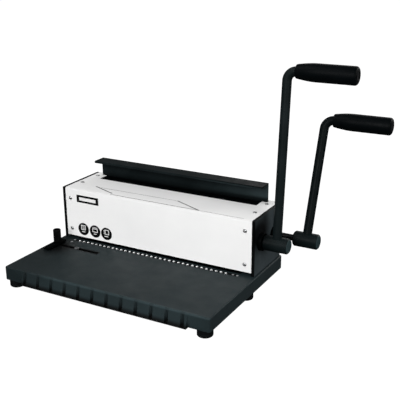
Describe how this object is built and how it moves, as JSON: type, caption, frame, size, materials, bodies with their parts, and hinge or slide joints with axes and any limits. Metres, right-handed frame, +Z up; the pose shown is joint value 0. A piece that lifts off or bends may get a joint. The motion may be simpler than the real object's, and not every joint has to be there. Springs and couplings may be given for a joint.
{
  "type": "wire binding machine",
  "caption": "Desktop wire binding machine: grooved base tray, white cover over a square-hole punch row, black closing bar on top, two bent side levers with grips.",
  "frame": {"origin": "on the table, under the middle of the machine's outline with both levers at rest", "axes": "+X along the punch row towards the levers, +Y from the tray to the back, +Z up"},
  "size_m": [0.5226, 0.2986, 0.3565],
  "materials": {
    "base_plastic": "fine satin grain",
    "sheet_steel": "plain zinc plated sheet",
    "rubber": "matt black",
    "frame_paint": "dark grey satin powder coat",
    "cover_paint": "white satin powder coat",
    "black_paint": "black satin paint",
    "grip_plastic": "black semi-gloss",
    "knob_plastic": "black fluted",
    "drawer_plastic": "dark grey",
    "bright_steel": "polished",
    "screw_steel": "zinc plated",
    "tool_steel": "ground tool steel",
    "shaft_steel": "ground bar",
    "spring_steel": "drawn wire",
    "bronze": "sintered bearing bronze"
  },
  "bodies": {
    "frame": {"base_tray": "base_plastic", "bottom_plate": "sheet_steel", "feet": "rubber", "foot_screws": "screw_steel", "end_frame_left": "frame_paint", "end_frame_right": "frame_paint", "frame_bolts": "screw_steel", "frame_nuts": "screw_steel", "cover": "cover_paint", "cover_screws": "screw_steel", "rear_panel": "frame_paint", "rear_screws": "screw_steel", "anvil_bar": "black_paint", "anvil_screws": "screw_steel", "die_plate": "tool_steel", "throat_spacer": "tool_steel", "guide_plate": "tool_steel", "die_screws": "screw_steel", "pin_rail": "frame_paint", "wire_pins": "bright_steel", "punch_posts": "shaft_steel", "punch_springs": "spring_steel", "shaft_bushes": "bronze", "bearing_caps": "black_paint", "closing_posts": "shaft_steel", "closing_springs": "spring_steel", "drawer_runners": "sheet_steel"},
    "punch_lever": {"punch_shaft": "shaft_steel", "punch_cams": "tool_steel", "punch_hub": "black_paint", "punch_rod": "black_paint", "punch_grip": "grip_plastic", "punch_grip_cap": "grip_plastic", "punch_set_screw": "screw_steel"},
    "punch_bar": {"punch_bar": "tool_steel", "punches": "tool_steel"},
    "closing_lever": {"closing_shaft": "shaft_steel", "closing_cams": "tool_steel", "closing_hub": "black_paint", "closing_rod": "black_paint", "closing_grip": "grip_plastic", "closing_grip_cap": "grip_plastic", "closing_set_screw": "screw_steel"},
    "closing_bar": {"closing_bar": "black_paint", "closing_legs": "tool_steel", "leg_screws": "screw_steel"},
    "edge_guide": {"edge_guide": "knob_plastic", "guide_strip": "sheet_steel", "guide_stud": "bright_steel"},
    "edge_knob": {"edge_knob": "knob_plastic"},
    "chip_drawer": {"chip_drawer": "drawer_plastic"}
  },
  "joints": [
    {"name": "punch_lever_turn", "type": "hinge", "parent": "frame", "child": "punch_lever", "pos_m": [0, 0.02623, 0.085], "axis": [1, 0, 0], "range_deg": [0, 97]},
    {"name": "punch_bar_slide", "type": "slide", "parent": "frame", "child": "punch_bar", "axis": [0, 0, -1], "range_m": [0, 0.0081], "stiffness_N_per_m": 900, "springref_m": -0.025, "deforming": ["punch_springs"]},
    {"name": "closing_lever_turn", "type": "hinge", "parent": "frame", "child": "closing_lever", "pos_m": [0, 0.07493, 0.0802], "axis": [1, 0, 0], "range_deg": [0, 95]},
    {"name": "closing_bar_slide", "type": "slide", "parent": "frame", "child": "closing_bar", "axis": [0, 0, -1], "range_m": [0, 0.0201], "stiffness_N_per_m": 600, "springref_m": -0.035, "deforming": ["closing_springs"]},
    {"name": "edge_guide_slide", "type": "slide", "parent": "frame", "child": "edge_guide", "axis": [1, 0, 0], "range_m": [0, 0.04]},
    {"name": "edge_knob_turn", "type": "hinge", "parent": "edge_guide", "child": "edge_knob", "pos_m": [-0.24596, -0.03177, 0.034], "axis": [0, 0, 1], "range_deg": [0, 270]},
    {"name": "chip_drawer_slide", "type": "slide", "parent": "frame", "child": "chip_drawer", "axis": [-1, 0, 0], "range_m": [0, 0.25]}
  ],
  "couplings": [
    {"joint": "punch_bar_slide", "follows": "punch_lever_turn", "m_per_rad": 0.0047254},
    {"joint": "closing_bar_slide", "follows": "closing_lever_turn", "m_per_rad": 0.012062}
  ]
}
